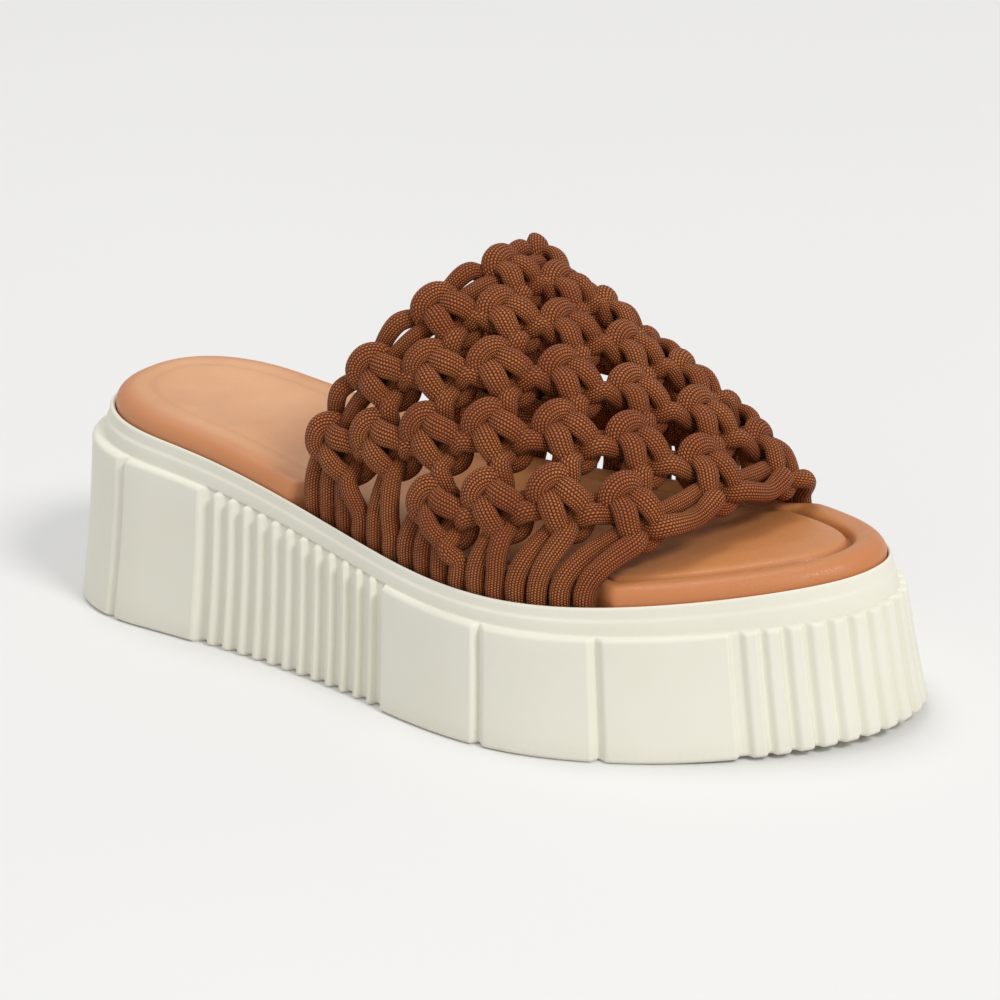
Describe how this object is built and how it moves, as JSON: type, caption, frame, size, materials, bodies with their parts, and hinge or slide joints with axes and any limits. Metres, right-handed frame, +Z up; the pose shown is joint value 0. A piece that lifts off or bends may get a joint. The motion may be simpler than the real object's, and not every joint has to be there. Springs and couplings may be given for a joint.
{
  "type": "platform sandal",
  "caption": "Slip-on platform sandal with a thick ribbed moulded sole, a padded leather footbed and a wide open band of knotted round cord.",
  "frame": {"origin": "centre of the bounding box's underside, on the floor plane that the sole stands on", "axes": "+X along the shoe towards the toe, +Y towards the inner side of this right shoe, +Z up"},
  "size_m": [0.273, 0.1204, 0.1127],
  "materials": {
    "sole": "matte cream moulded foam rubber",
    "footbed": "smooth tan leather over foam",
    "upper": "brown braided round cord"
  },
  "bodies": {
    "root": {"sole": "sole", "footbed": "footbed", "upper": "upper"}
  },
  "joints": []
}
